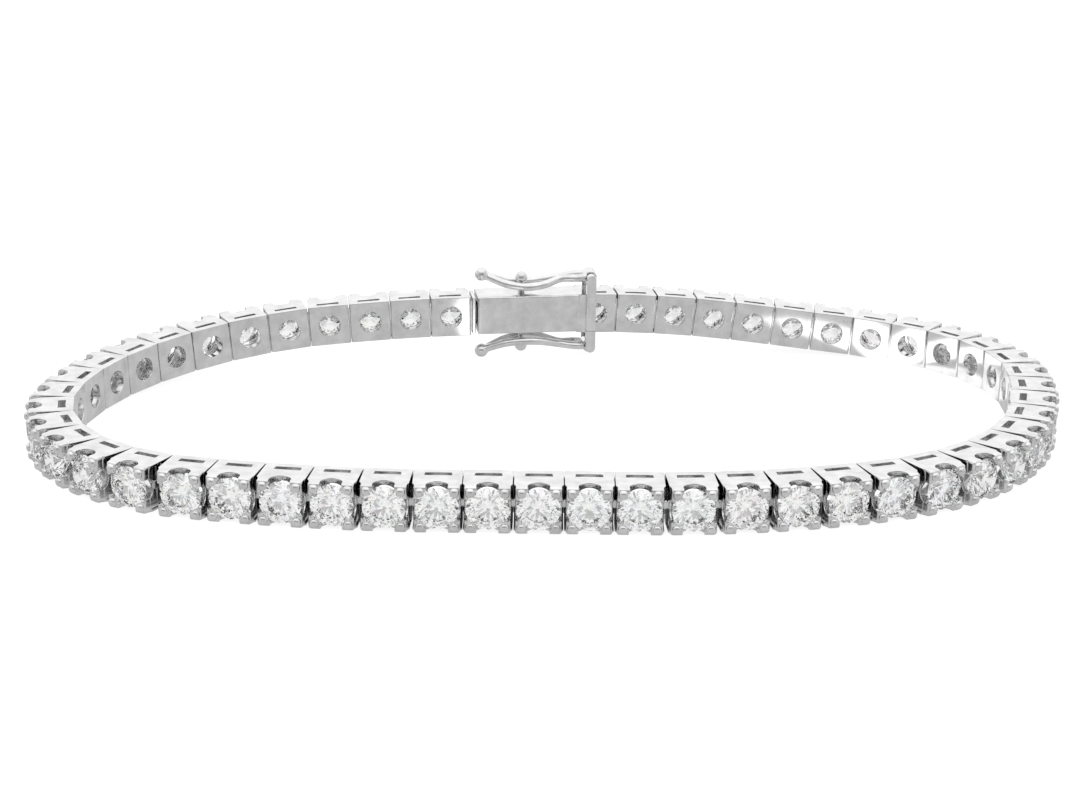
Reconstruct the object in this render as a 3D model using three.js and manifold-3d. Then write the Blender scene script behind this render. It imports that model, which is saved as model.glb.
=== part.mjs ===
// A line ("tennis") bracelet: claw-set round stones on short hinged links, closed by a box clasp with a
// figure-eight safety catch on each side.  Units are millimetres and +Z is up.
//
// The closed bracelet stands on one edge as a whole oval loop, stones facing outwards.  The lower catch
// holds the clasp off the surface, and the chain comes down to the surface on both sides of it.
//
// Every link, and the clasp, is drawn in a frame of its own: +X runs along the chain towards its box
// end, +Y points outwards through the stone, +Z is up, and the origin lies on the line of the hinges.

import * as THREE from 'three';
import { mergeVertices } from 'three/addons/utils/BufferGeometryUtils.js';
import Module from 'manifold-3d';

const wasm = await Module();
wasm.setup();

// ---------------------------------------------------------------------------------------------------
// Driving dimensions
// ---------------------------------------------------------------------------------------------------

const CHAIN = { links: 52, pitch: 3.25, linksPerRun: 4 };

// The heading of the clasp, then how far each stretch of hinges turns the chain to the left.
const CLASP_HEADING = 188.5;
const BENDS = [
  { joints: 4, degrees: 0 },
  { joints: 4, degrees: 9 },
  { joints: 4, degrees: 11 },
  { joints: 6, degrees: 13 },
  { joints: 5, degrees: 2.6 },
  { joints: 4, degrees: 0 },
  { joints: 5, degrees: 4 },
  { joints: 5, degrees: 10 },
  { joints: 3, degrees: 6 },
  { joints: 6, degrees: 14.5 },
  { joints: 4, degrees: 3.5 },
  { joints: 3, degrees: 0 },
];

// How many links the chain takes to come down from the raised clasp, on its tongue and its box side.
const DESCENT = { tongueLinks: 11.5, boxLinks: 8.7 };

const LINK = { length: 3.05, width: 3.2, inner: -0.25, shoulder: 2.45, chamfer: 0.2 };
const SLOT = { length: 1.75, height: 0.34, y: 0.7 };
const SCALLOP = { halfWidth: 0.72, depth: 0.5, segments: 3 };
const WINDOW = { radius: 0.65, sides: 6 };
const LUG = { length: 0.5, bottom: 0, top: 1.6, width: 0.6 };
const STONE = { radius: 1.42, tableRadius: 0.8, girdle: 2.65, table: 3.08, culet: 1.42, sides: 8 };
const CLAW = { x: 1.11, z: 1.2, bottom: 2.3, shoulder: 2.88, top: 3.15, half: 0.38, tipHalf: 0.22 };

const CLASP = { span: 8.63 };
const BOX = { start: 0.55, end: 8.85, inner: -0.25, outer: 2.75, halfWidth: 1.55 };
const SOCKET = { depth: 7.2, bottom: 0.25, top: 2.25, halfWidth: 0.95 };
const TONGUE = {
  root: { start: 0.1, end: 0.38, bottom: -0.1, top: 2.3, halfWidth: 1.5 },
  blade: { end: 7.0, bottom: 0.55, top: 1.95, halfWidth: 0.7 },
};

// The catches: heights are measured out from the side of the clasp box.
const CATCH = { mid: 0.9, wireRadius: 0.32, sides: 6, steps: 11 };
const STRAND = [
  { x: 9.75, spread: 0.42, height: 1.35 },
  { x: 8.7, spread: 0.72, height: 1.3 },
  { x: 7.4, spread: 0.36, height: 1.2 },
  { x: 6.0, spread: 0.8, height: 0.86 },
  { x: 4.6, spread: 0.98, height: 0.72 },
  { x: 3.0, spread: 0.66, height: 0.91 },
  { x: 1.9, spread: 0.3, height: 1.27 },
  { x: 0.95, spread: 0.0, height: 1.65 },
];
const BEAD = { radius: 0.55, segments: 8 };
const EYE = { radius: 0.55, bore: 0.37, length: 1.5, sides: 8 };
const PIN = { radius: 0.24, sides: 8 };
const STUD = { x: 4.2, height: 1.3, ballRadius: 0.5, postRadius: 0.28, segments: 8 };
const BRIDGE = { halfLength: 0.38, thickness: 0.35, outerLug: { bottom: 1.8, top: 2.1 }, rootZ: 1.45 };

const COLOURS = { whiteGold: 0xd9dadd };

// ---------------------------------------------------------------------------------------------------
// Solids
// ---------------------------------------------------------------------------------------------------

/** A manifold solid of a closed three.js geometry. */
function solidOf(geometry) {
  const bare = geometry.clone();
  bare.deleteAttribute('normal');
  bare.deleteAttribute('uv');
  const merged = mergeVertices(bare, 1e-5);
  const corners = Array.from(merged.index.array);
  const triVerts = [];
  for (let i = 0; i < corners.length; i += 3) {
    const [a, b, c] = corners.slice(i, i + 3);
    if (a !== b && b !== c && c !== a) triVerts.push(a, b, c);
  }
  return new wasm.Manifold(new wasm.Mesh({
    numProp: 3,
    vertProperties: Float32Array.from(merged.attributes.position.array),
    triVerts: Uint32Array.from(triVerts),
  }));
}

/** The three.js geometry of a manifold solid. */
function geometryOf(solid) {
  const { vertProperties, triVerts } = solid.getMesh();
  const geometry = new THREE.BufferGeometry();
  geometry.setAttribute('position', new THREE.BufferAttribute(Float32Array.from(vertProperties), 3));
  geometry.setIndex(new THREE.BufferAttribute(Uint32Array.from(triVerts), 1));
  geometry.computeVertexNormals();
  return geometry;
}

/** One solid of several that touch or overlap. */
function joined(solids) {
  return solids.reduce((whole, solid) => whole.add(solid));
}

/** A solid box between two corners. */
function boxBetween(x0, x1, y0, y1, z0, z1) {
  const geometry = new THREE.BoxGeometry(x1 - x0, y1 - y0, z1 - z0);
  return solidOf(geometry.translate((x0 + x1) / 2, (y0 + y1) / 2, (z0 + z1) / 2));
}

/** A round or tapered post along Y, from y0 (radius r0) to y1 (radius r1), turned about its axis. */
function postAlongY(x, z, y0, y1, r0, r1, sides, turn = 0) {
  const geometry = new THREE.CylinderGeometry(r1, r0, y1 - y0, sides);
  return solidOf(geometry.rotateY(turn).translate(x, (y0 + y1) / 2, z));
}

/** A copy of a solid placed by a matrix. */
function placed(solid, matrix) {
  return solid.transform(matrix.toArray());
}

// ---------------------------------------------------------------------------------------------------
// Route of the chain
// ---------------------------------------------------------------------------------------------------

const CATCH_REACH = BOX.halfWidth + STRAND.at(-1).height + BEAD.radius;
const CLASP_RISE = CATCH_REACH - LINK.width / 2;

/** A share from 1 to 0 that falls as half a cosine wave over the given length. */
function descent(distance, length) {
  const t = Math.min(distance / length, 1);
  return (1 + Math.cos(Math.PI * t)) / 2;
}

/** The hinge points of the chain, from the clasp's tongue round to its box. */
function hingePoints() {
  const turns = BENDS.flatMap(({ joints, degrees }) => Array(joints).fill(degrees));
  const points = [new THREE.Vector3()];
  let heading = CLASP_HEADING;
  for (let i = 0; i < CHAIN.links; i += 1) {
    heading += turns[i];
    const angle = THREE.MathUtils.degToRad(heading);
    const step = new THREE.Vector3(Math.cos(angle), Math.sin(angle), 0);
    points.push(points[i].clone().addScaledVector(step, CHAIN.pitch));
  }
  // What the rounded bends leave open at the clasp is shared out evenly along the chain.
  const angle = THREE.MathUtils.degToRad(CLASP_HEADING);
  const clasp = new THREE.Vector3(Math.cos(angle), Math.sin(angle), 0).multiplyScalar(CLASP.span);
  const gap = points.at(-1).clone().add(clasp);
  points.forEach((point, i) => {
    point.addScaledVector(gap, -i / CHAIN.links);
    const share = descent(i, DESCENT.tongueLinks) + descent(CHAIN.links - i, DESCENT.boxLinks);
    point.z = LINK.width / 2 + CLASP_RISE * share;
  });
  return points;
}

/** The frame between two hinge points: +X from "to" back to "from", +Y outwards, +Z up. */
function frameBetween(from, to, origin) {
  const x = from.clone().sub(to).normalize();
  const y = new THREE.Vector3(0, 0, 1).cross(x).normalize();
  const z = x.clone().cross(y);
  return new THREE.Matrix4().makeBasis(x, y, z).setPosition(origin);
}

const HINGES = hingePoints();
const LINK_FRAMES = Array.from({ length: CHAIN.links }, (_, i) => {
  const middle = HINGES[i].clone().lerp(HINGES[i + 1], 0.5);
  return frameBetween(HINGES[i], HINGES[i + 1], middle);
});
// The clasp's frame starts at the tongue's hinge and runs to the box's hinge along +X.
const CLASP_FRAME = frameBetween(HINGES.at(-1), HINGES[0], HINGES[0]);

// ---------------------------------------------------------------------------------------------------
// Links
// ---------------------------------------------------------------------------------------------------

/** The body of a link: a slotted side outline with a scallop under the stone, and a round window. */
function linkBody() {
  const half = LINK.length / 2;
  const radius = (SCALLOP.halfWidth ** 2 + SCALLOP.depth ** 2) / (2 * SCALLOP.depth);
  const centre = LINK.shoulder - SCALLOP.depth + radius;
  const start = Math.asin((centre - LINK.shoulder) / radius);

  const outline = new THREE.Shape();
  outline.moveTo(-half + LINK.chamfer, LINK.inner);
  outline.lineTo(half - LINK.chamfer, LINK.inner);
  outline.lineTo(half, LINK.inner + LINK.chamfer);
  outline.lineTo(half, LINK.shoulder);
  outline.absarc(0, centre, radius, -start, -Math.PI + start, true);
  outline.lineTo(-half, LINK.shoulder);
  outline.lineTo(-half, LINK.inner + LINK.chamfer);

  const slot = new THREE.Path();
  slot.moveTo(-SLOT.length / 2, SLOT.y - SLOT.height / 2);
  slot.lineTo(-SLOT.length / 2, SLOT.y + SLOT.height / 2);
  slot.lineTo(SLOT.length / 2, SLOT.y + SLOT.height / 2);
  slot.lineTo(SLOT.length / 2, SLOT.y - SLOT.height / 2);
  outline.holes.push(slot);

  const extruded = new THREE.ExtrudeGeometry(outline, {
    depth: LINK.width,
    bevelEnabled: false,
    curveSegments: SCALLOP.segments,
  });
  const body = solidOf(extruded.translate(0, 0, -LINK.width / 2));
  const below = LINK.inner - 1;
  const window = postAlongY(0, 0, below, SLOT.y, WINDOW.radius, WINDOW.radius, WINDOW.sides);
  return body.subtract(window);
}

/** A round stone: a faceted crown over a pointed pavilion, with a flat towards each claw. */
function stone() {
  const { radius, tableRadius, girdle, table, culet, sides } = STONE;
  const turn = Math.PI / sides;
  const crown = postAlongY(0, 0, girdle, table, radius, tableRadius, sides, turn);
  const pavilion = postAlongY(0, 0, culet, girdle, 0, radius, sides, turn);
  return crown.add(pavilion);
}

/** The four square claws that hold the stone at the corners of a link, each with a tapered tip. */
function claws() {
  const { x, z, bottom, shoulder, top, half, tipHalf } = CLAW;
  const corner = half * Math.SQRT2;
  const tipCorner = tipHalf * Math.SQRT2;
  const turn = Math.PI / 4;
  const places = [[x, z], [x, -z], [-x, z], [-x, -z]];
  return places.map(([cx, cz]) => {
    const shank = postAlongY(cx, cz, bottom, shoulder, corner, corner, 4, turn);
    return shank.add(postAlongY(cx, cz, shoulder, top, corner, tipCorner, 4, turn));
  });
}

/** A link with its claws and its stone. */
function settingSolid() {
  return joined([linkBody(), ...claws(), stone()]);
}

/** The lug that joins a link to the one before it, nearer the tongue. */
function lugSolid() {
  const joint = CHAIN.pitch / 2;
  const half = LUG.length / 2;
  return boxBetween(joint - half, joint + half, LUG.bottom, LUG.top, -LUG.width / 2, LUG.width / 2);
}

const SETTING = settingSolid();
const LUG_SOLID = lugSolid();

/** One mesh of a few neighbouring links, drawn in the frame of its first link. */
function chainRun(first, count) {
  const toRun = LINK_FRAMES[first].clone().invert();
  const pieces = [];
  for (let i = first; i < first + count; i += 1) {
    const place = toRun.clone().multiply(LINK_FRAMES[i]);
    pieces.push(placed(SETTING, place));
    if (i > first) pieces.push(placed(LUG_SOLID, place));
  }
  const name = `chain_run_${String(first / CHAIN.linksPerRun + 1).padStart(2, '0')}`;
  return metalMesh(name, joined(pieces), LINK_FRAMES[first]);
}

// ---------------------------------------------------------------------------------------------------
// Clasp
// ---------------------------------------------------------------------------------------------------

/** The box of the clasp, open towards the tongue. */
function boxSolid() {
  const { start, end, inner, outer, halfWidth } = BOX;
  const body = boxBetween(start, end, inner, outer, -halfWidth, halfWidth);
  const { depth, bottom, top, halfWidth: half } = SOCKET;
  return body.subtract(boxBetween(start - 1, start + depth, bottom, top, -half, half));
}

/** The ball stud that a catch snaps over; side is 1 above the box and -1 below it. */
function studSolid(side) {
  const { x, height, ballRadius, postRadius, segments } = STUD;
  const middle = side * (BOX.halfWidth + height);
  const ball = new THREE.SphereGeometry(ballRadius, segments, segments - 2).rotateX(Math.PI / 2);
  const root = side * (BOX.halfWidth - 0.2);
  const post = new THREE.CylinderGeometry(postRadius, postRadius, Math.abs(middle - root), segments);
  post.rotateX(Math.PI / 2).translate(x, CATCH.mid, (middle + root) / 2);
  return solidOf(ball.translate(x, CATCH.mid, middle)).add(solidOf(post));
}

/** A lug that carries the end of a hinge pin, rounded over the pin. */
function pinLug(side, y0, y1) {
  const { x, height } = STRAND[0];
  const z = side * (BOX.halfWidth + height);
  const root = side * BRIDGE.rootZ;
  const { halfLength } = BRIDGE;
  const web = boxBetween(x - halfLength, x + halfLength, y0, y1, Math.min(root, z), Math.max(root, z));
  return web.add(postAlongY(x, z, y0, y1, halfLength, halfLength, PIN.sides));
}

/** The bridge across the inner face of the end link, with the lugs and pins of both catches. */
function bridgeSolid() {
  const { halfLength, thickness, outerLug, rootZ } = BRIDGE;
  const { x, height } = STRAND[0];
  const innerFace = LINK.inner - thickness;
  const innerTop = LINK.inner + thickness / 2;
  const strap = boxBetween(x - halfLength, x + halfLength, innerFace, innerTop, -rootZ, rootZ);
  const pieces = [strap];
  for (const side of [1, -1]) {
    const z = side * (BOX.halfWidth + height);
    pieces.push(pinLug(side, innerFace, innerTop));
    pieces.push(pinLug(side, outerLug.bottom, outerLug.top));
    pieces.push(postAlongY(x, z, innerFace, outerLug.top, PIN.radius, PIN.radius, PIN.sides));
  }
  return joined(pieces);
}

/** The clasp's fixed half: box, soldered end link with its stone, studs, and hinge bridge. */
function claspBox() {
  const toClasp = CLASP_FRAME.clone().invert();
  const endLink = placed(SETTING, toClasp.multiply(LINK_FRAMES.at(-1)));
  const solid = joined([boxSolid(), endLink, studSolid(1), studSolid(-1), bridgeSolid()]);
  return metalMesh('clasp_box', solid, CLASP_FRAME);
}

/** The tongue: a blade in the box on a root web next to the first link. */
function claspTongue() {
  const { root, blade } = TONGUE;
  const web = boxBetween(root.start, root.end, root.bottom, root.top, -root.halfWidth, root.halfWidth);
  const bar = boxBetween(
    root.start, blade.end, blade.bottom, blade.top, -blade.halfWidth, blade.halfWidth,
  );
  return metalMesh('clasp_tongue', web.add(bar), CLASP_FRAME);
}

/** One strand of a figure-eight catch; spreadSide is 1 for the outer strand and -1 for the inner. */
function strandSolid(side, spreadSide) {
  const path = new THREE.CatmullRomCurve3(STRAND.map(({ x, spread, height }) => (
    new THREE.Vector3(x, CATCH.mid + spreadSide * spread, side * (BOX.halfWidth + height))
  )));
  const section = new THREE.Shape();
  section.absarc(0, 0, CATCH.wireRadius, 0, 2 * Math.PI);
  return solidOf(new THREE.ExtrudeGeometry(section, {
    steps: CATCH.steps,
    curveSegments: CATCH.sides / 2,
    extrudePath: path,
  }));
}

/** A figure-eight catch: two strands from the hinge eye to the bead at the tip. */
function safetyCatch(name, side) {
  const hinge = STRAND[0];
  const tip = STRAND.at(-1);
  const hingeZ = side * (BOX.halfWidth + hinge.height);
  const y0 = CATCH.mid - EYE.length / 2;
  const y1 = CATCH.mid + EYE.length / 2;
  const eye = postAlongY(hinge.x, hingeZ, y0, y1, EYE.radius, EYE.radius, EYE.sides);
  const bore = postAlongY(hinge.x, hingeZ, y0 - 1, y1 + 1, EYE.bore, EYE.bore, EYE.sides);
  const ball = new THREE.SphereGeometry(BEAD.radius, BEAD.segments, BEAD.segments - 2);
  ball.rotateX(Math.PI / 2).translate(tip.x, CATCH.mid, side * (BOX.halfWidth + tip.height));
  const wire = joined([strandSolid(side, 1), strandSolid(side, -1), eye, solidOf(ball)]);
  return metalMesh(name, wire.subtract(bore), CLASP_FRAME);
}

// ---------------------------------------------------------------------------------------------------
// Assembly
// ---------------------------------------------------------------------------------------------------

/** A named mesh of polished white gold, placed by a frame. */
function metalMesh(name, solid, frame) {
  const material = new THREE.MeshStandardMaterial({
    color: COLOURS.whiteGold,
    roughness: 0.15,
    metalness: 1,
  });
  const mesh = new THREE.Mesh(geometryOf(solid), material);
  mesh.name = name;
  frame.decompose(mesh.position, mesh.quaternion, mesh.scale);
  return mesh;
}

/** All pieces, as they meet each other round the loop. */
function bracelet() {
  const assembly = new THREE.Group();
  const hinged = CHAIN.links - 1;
  for (let first = 0; first < hinged; first += CHAIN.linksPerRun) {
    assembly.add(chainRun(first, Math.min(CHAIN.linksPerRun, hinged - first)));
  }
  assembly.add(claspBox(), claspTongue());
  assembly.add(safetyCatch('catch_upper', 1), safetyCatch('catch_lower', -1));
  return assembly;
}

/** Sets a group down with the origin at the centre of its bounding box's bottom. */
function standOnOrigin(group) {
  group.updateMatrixWorld(true);
  const box = new THREE.Box3().setFromObject(group, true);
  const centre = box.getCenter(new THREE.Vector3());
  group.position.set(-centre.x, -centre.y, -box.min.z);
  return group;
}

const root = new THREE.Group();
root.name = 'tennis_bracelet';
root.add(standOnOrigin(bracelet()));

export default root;
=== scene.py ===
"""A line bracelet of claw-set brilliants in white gold, closed by a box clasp with two safety catches.

Every part is drawn in millimetres in a frame of its own: +X runs along the chain towards its box end,
+Y points outwards through the stone, +Z is up, and the origin lies on the line of the hinges.  Each
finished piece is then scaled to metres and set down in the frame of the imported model.
"""

import logging
import math
from dataclasses import dataclass, field
from enum import Enum
from typing import Any, Iterable

import bmesh
import bpy
from mathutils import Matrix, Vector

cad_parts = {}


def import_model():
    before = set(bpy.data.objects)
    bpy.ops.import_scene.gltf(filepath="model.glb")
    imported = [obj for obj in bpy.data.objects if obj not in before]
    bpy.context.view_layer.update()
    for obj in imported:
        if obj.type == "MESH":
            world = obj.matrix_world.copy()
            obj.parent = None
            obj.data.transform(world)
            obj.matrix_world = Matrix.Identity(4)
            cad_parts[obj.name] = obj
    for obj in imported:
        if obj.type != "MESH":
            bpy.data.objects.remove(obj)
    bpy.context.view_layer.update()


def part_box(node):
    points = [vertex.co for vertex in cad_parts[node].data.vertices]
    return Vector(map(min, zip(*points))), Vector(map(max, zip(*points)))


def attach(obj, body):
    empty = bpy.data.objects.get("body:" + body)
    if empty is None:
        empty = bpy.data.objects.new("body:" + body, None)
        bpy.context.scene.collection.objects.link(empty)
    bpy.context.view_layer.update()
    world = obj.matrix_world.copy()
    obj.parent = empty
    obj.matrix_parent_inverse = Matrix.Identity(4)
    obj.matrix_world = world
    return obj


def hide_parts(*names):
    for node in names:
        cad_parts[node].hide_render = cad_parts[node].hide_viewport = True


MM = 0.001
BAND = "band"
METAL_SLOT = "white_gold"
STONE_SLOT = "diamond"
STONE_SEED = 7
SPIN_SEED_SHIFT = 100.0
# Marks the slot walls, where the metal's painted shade is paler.
SLOT_WALL_MARK = "as_cast"
SHARP_ANGLE = 35.0
LEAST_FLAT = 0.03

Colour = tuple[float, float, float, float]
Range = tuple[float, float]

log = logging.getLogger("bracelet")


class Side(Enum):
    """Which side of the clasp box a catch lies on."""

    UPPER = 1
    LOWER = -1


class Weld(Enum):
    """How one solid acts on another."""

    ADD = "UNION"
    CUT = "DIFFERENCE"


class Blend(Enum):
    """What a Mix node mixes: its data type, and the numbers of its two inputs and its output."""

    NUMBERS = ("FLOAT", 2, 3, 0)
    COLOURS = ("RGBA", 6, 7, 2)


# ------------------------------------------------------------------------------------------------
# Workbench
# ------------------------------------------------------------------------------------------------


class NodeDesk:
    """Places nodes in a node tree and wires them by socket."""

    def __init__(self, tree: bpy.types.NodeTree) -> None:
        """Keeps the tree to work in.

        Args:
            tree: the node tree that gets the nodes.
        """
        self.tree = tree

    def place(self, kind: str, inputs: dict[Any, Any] | None = None, **settings: Any) -> bpy.types.Node:
        """Adds one node.

        Args:
            kind: the node's type name.
            inputs: for each input, by name or number, a value or the socket that feeds it.
            **settings: properties of the node.

        Returns:
            The new node.
        """
        node = self.tree.nodes.new(kind)
        for name, value in settings.items():
            setattr(node, name, value)
        for key, value in (inputs or {}).items():
            if isinstance(value, bpy.types.NodeSocket):
                self.tree.links.new(value, node.inputs[key])
            else:
                node.inputs[key].default_value = value
        return node

    def out(self, kind: str, inputs: dict[Any, Any] | None = None, **settings: Any) -> bpy.types.NodeSocket:
        """Adds one node and returns its first output that is in use."""
        node = self.place(kind, inputs, **settings)
        return next(socket for socket in node.outputs if socket.enabled)

    def maths(self, operation: str, first: Any, second: Any = 0.0) -> bpy.types.NodeSocket:
        """Adds a Math node of one operation on two numbers or sockets."""
        return self.out("ShaderNodeMath", {0: first, 1: second}, operation=operation)

    def mixed(self, blend: Blend, share: Any, first: Any, second: Any) -> bpy.types.NodeSocket:
        """Adds a Mix node.

        Args:
            blend: what is mixed.
            share: the second one's share, as a number or socket.
            first: a number, a colour or a socket.
            second: the same for the other.

        Returns:
            The mix.
        """
        kind, one, other, result = blend.value
        inputs = {"Factor": share, one: first, other: second}
        return self.place("ShaderNodeMix", inputs, data_type=kind).outputs[result]

    def ranged(
        self, value: bpy.types.NodeSocket, ends: Range, results: Range = (0.0, 1.0), smooth: bool = False
    ) -> bpy.types.NodeSocket:
        """Adds a Map Range node, whose result is level outside its ends.

        Args:
            value: the value that is mapped.
            ends: the values that give the first and the last result.
            results: the first and the last result.
            smooth: whether the result eases in and out.

        Returns:
            The result.
        """
        limits = {"From Min": ends[0], "From Max": ends[1], "To Min": results[0], "To Max": results[1]}
        kind = "SMOOTHSTEP" if smooth else "LINEAR"
        return self.out("ShaderNodeMapRange", {"Value": value, **limits}, interpolation_type=kind)


def blank_material(name: str) -> tuple[bpy.types.Material, NodeDesk]:
    """Makes a material without nodes.

    Args:
        name: its name.

    Returns:
        The material, and a desk at its node tree.
    """
    made = bpy.data.materials.new(name)
    made.use_nodes = True
    made.node_tree.nodes.clear()
    return made, NodeDesk(made.node_tree)


def mesh_of(shape: bmesh.types.BMesh, name: str) -> bpy.types.Mesh:
    """Turns a bmesh into a mesh with its faces outwards.

    Args:
        shape: the closed shape, which is freed.
        name: the mesh's name.

    Returns:
        The mesh.
    """
    bmesh.ops.recalc_face_normals(shape, faces=shape.faces)
    mesh = bpy.data.meshes.new(name)
    shape.to_mesh(mesh)
    shape.free()
    return mesh


def on_bench(mesh: bpy.types.Mesh, name: str = "bench") -> bpy.types.Object:
    """Puts a mesh on a working object, linked so that its modifiers can be evaluated.

    Args:
        mesh: the mesh.
        name: the object's name.

    Returns:
        The object.
    """
    worked = bpy.data.objects.new(name, mesh)
    bpy.context.scene.collection.objects.link(worked)
    return worked


def taken_off(worked: bpy.types.Object, name: str) -> bpy.types.Mesh:
    """Evaluates a working object's modifiers and removes the object.

    Args:
        worked: the working object.
        name: the name of the resulting mesh.

    Returns:
        The evaluated mesh.
    """
    bpy.context.view_layer.update()
    depsgraph = bpy.context.evaluated_depsgraph_get()
    result = bpy.data.meshes.new_from_object(worked.evaluated_get(depsgraph), depsgraph=depsgraph)
    result.name = name
    bpy.data.objects.remove(worked)
    return result


def welded(
    base: bpy.types.Mesh, steps: Iterable[tuple[Weld, bpy.types.Mesh]], name: str
) -> bpy.types.Mesh:
    """Joins solids to a base solid, or cuts them out of it, in order.

    Args:
        base: the solid to work on.
        steps: how each further solid acts, and the solid.
        name: the name of the result.

    Returns:
        The finished solid.
    """
    worked = on_bench(base)
    tools = []
    for weld, solid in steps:
        tool = on_bench(solid, "tool")
        tool.hide_render = True
        tools.append(tool)
        boolean = worked.modifiers.new("weld", "BOOLEAN")
        boolean.operation = weld.value
        boolean.solver = "EXACT"
        boolean.object = tool
    result = taken_off(worked, name)
    for tool in tools:
        bpy.data.objects.remove(tool)
    return result


def softened(mesh: bpy.types.Mesh, width: float, angle: float = 38.0, segments: int = 2) -> bpy.types.Mesh:
    """Rounds a solid's sharp edges, as polishing does.

    Args:
        mesh: the solid.
        width: how wide the rounding is, in millimetres.
        angle: the least angle between faces that is rounded, in degrees.
        segments: how many faces make up the rounding.

    Returns:
        The rounded solid.
    """
    worked = on_bench(mesh)
    bevel = worked.modifiers.new("polish", "BEVEL")
    bevel.width = width
    bevel.segments = segments
    bevel.limit_method = "ANGLE"
    bevel.angle_limit = math.radians(angle)
    bevel.use_clamp_overlap = False
    bevel.harden_normals = False
    return taken_off(worked, mesh.name)


def flowed(mesh: bpy.types.Mesh, voxel: float, rounds: int) -> bpy.types.Mesh:
    """Runs overlapping solids together with soft fillets, as solder does.

    Args:
        mesh: the overlapping solids in one mesh.
        voxel: the size of the cells that they are rebuilt from, in millimetres.
        rounds: how often the surface is smoothed.

    Returns:
        One closed solid.
    """
    worked = on_bench(mesh)
    remesh = worked.modifiers.new("solder", "REMESH")
    remesh.mode = "VOXEL"
    remesh.voxel_size = voxel
    remesh.adaptivity = 0.0
    smooth = worked.modifiers.new("flow", "CORRECTIVE_SMOOTH")
    smooth.iterations = rounds
    smooth.rest_source = "ORCO"
    smooth.use_only_smooth = True
    return taken_off(worked, mesh.name)


def rounded_box(
    low: tuple[float, float, float], high: tuple[float, float, float], edge: float, name: str = "box"
) -> bpy.types.Mesh:
    """Makes a box between two corners with rounded edges.

    Args:
        low: the lowest corner.
        high: the highest corner.
        edge: how wide the rounding is, or 0 for none.
        name: the mesh's name.

    Returns:
        The box.
    """
    shape = bmesh.new()
    bmesh.ops.create_cube(shape, size=1.0)
    size = Vector(high) - Vector(low)
    middle = (Vector(high) + Vector(low)) / 2
    bmesh.ops.scale(shape, vec=size, verts=shape.verts)
    bmesh.ops.translate(shape, vec=middle, verts=shape.verts)
    if edge:
        bmesh.ops.bevel(
            shape, geom=shape.edges[:], offset=edge, segments=3, profile=0.5, affect="EDGES"
        )
    return mesh_of(shape, name)


def skinned(rings: list[list[bmesh.types.BMVert]], shape: bmesh.types.BMesh) -> None:
    """Lays faces from ring to ring of corners, and closes both ends.

    Args:
        rings: the rings in order, with as many corners each.
        shape: the shape that the corners belong to.
    """
    for lower, upper in zip(rings, rings[1:]):
        for i, corner in enumerate(lower):
            j = (i + 1) % len(lower)
            shape.faces.new((corner, lower[j], upper[j], upper[i]))
    for end in (rings[0], rings[-1]):
        shape.faces.new(end)


def turned(profile: Iterable[tuple[float, float]], sides: int, name: str = "turned") -> bpy.types.Mesh:
    """Turns a profile about the Y axis, as on a lathe, and closes its ends.

    Args:
        profile: pairs of radius and height along Y.
        sides: how many faces there are round the axis.
        name: the mesh's name.

    Returns:
        The turned solid.
    """
    shape = bmesh.new()
    turns = [2 * math.pi * i / sides for i in range(sides)]
    rings = [
        [shape.verts.new((radius * math.cos(t), height, radius * math.sin(t))) for t in turns]
        for radius, height in profile
    ]
    skinned(rings, shape)
    return mesh_of(shape, name)


def prism(outline: list[tuple[float, float]], half_width: float, name: str = "prism") -> bpy.types.Mesh:
    """Extrudes an outline in the XY plane both ways along Z.

    Args:
        outline: the corners of the outline.
        half_width: how far it is extruded each way.
        name: the mesh's name.

    Returns:
        The prism.
    """
    shape = bmesh.new()
    rings = [[shape.verts.new((x, y, z)) for x, y in outline] for z in (-half_width, half_width)]
    skinned(rings, shape)
    return mesh_of(shape, name)


def ball(centre: Vector, radius: float, cuts: int = 7) -> bpy.types.Mesh:
    """Makes a ball from a rounded cube, which has no poles.

    Args:
        centre: the ball's centre.
        radius: its radius.
        cuts: how often each edge of the cube is cut.

    Returns:
        The ball.
    """
    shape = bmesh.new()
    bmesh.ops.create_cube(shape, size=2.0)
    bmesh.ops.subdivide_edges(shape, edges=shape.edges[:], cuts=cuts, use_grid_fill=True)
    for vert in shape.verts:
        vert.co = centre + vert.co.normalized() * radius
    return mesh_of(shape, "ball")


def moved(mesh: bpy.types.Mesh, matrix: Matrix) -> bpy.types.Mesh:
    """Moves a mesh by a matrix and returns it."""
    mesh.transform(matrix)
    return mesh


def gathered(meshes: Iterable[bpy.types.Mesh], name: str) -> bpy.types.Mesh:
    """Puts several meshes into one without joining their surfaces.

    Args:
        meshes: the meshes.
        name: the name of the result.

    Returns:
        The mesh that holds them all.
    """
    shape = bmesh.new()
    for mesh in meshes:
        shape.from_mesh(mesh)
    result = bpy.data.meshes.new(name)
    shape.to_mesh(result)
    shape.free()
    return result


def shaded(
    mesh: bpy.types.Mesh, angle: float = SHARP_ANGLE, least_flat: float = LEAST_FLAT
) -> bpy.types.Mesh:
    """Shades a mesh smooth, except across sharp edges and on its level faces.

    Args:
        mesh: the mesh.
        angle: the angle between faces above which an edge is sharp, in degrees.
        least_flat: the area in square millimetres from which a face square to an axis stays flat, or 0
            to leave none flat.

    Returns:
        The same mesh.
    """
    mesh.shade_smooth()
    mesh.set_sharp_from_angle(angle=math.radians(angle))
    for face in mesh.polygons:
        level = max(abs(part) for part in face.normal) > 0.9999
        if least_flat and level and face.area > least_flat:
            face.use_smooth = False
    return mesh


# ------------------------------------------------------------------------------------------------
# Finishes
# ------------------------------------------------------------------------------------------------


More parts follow.
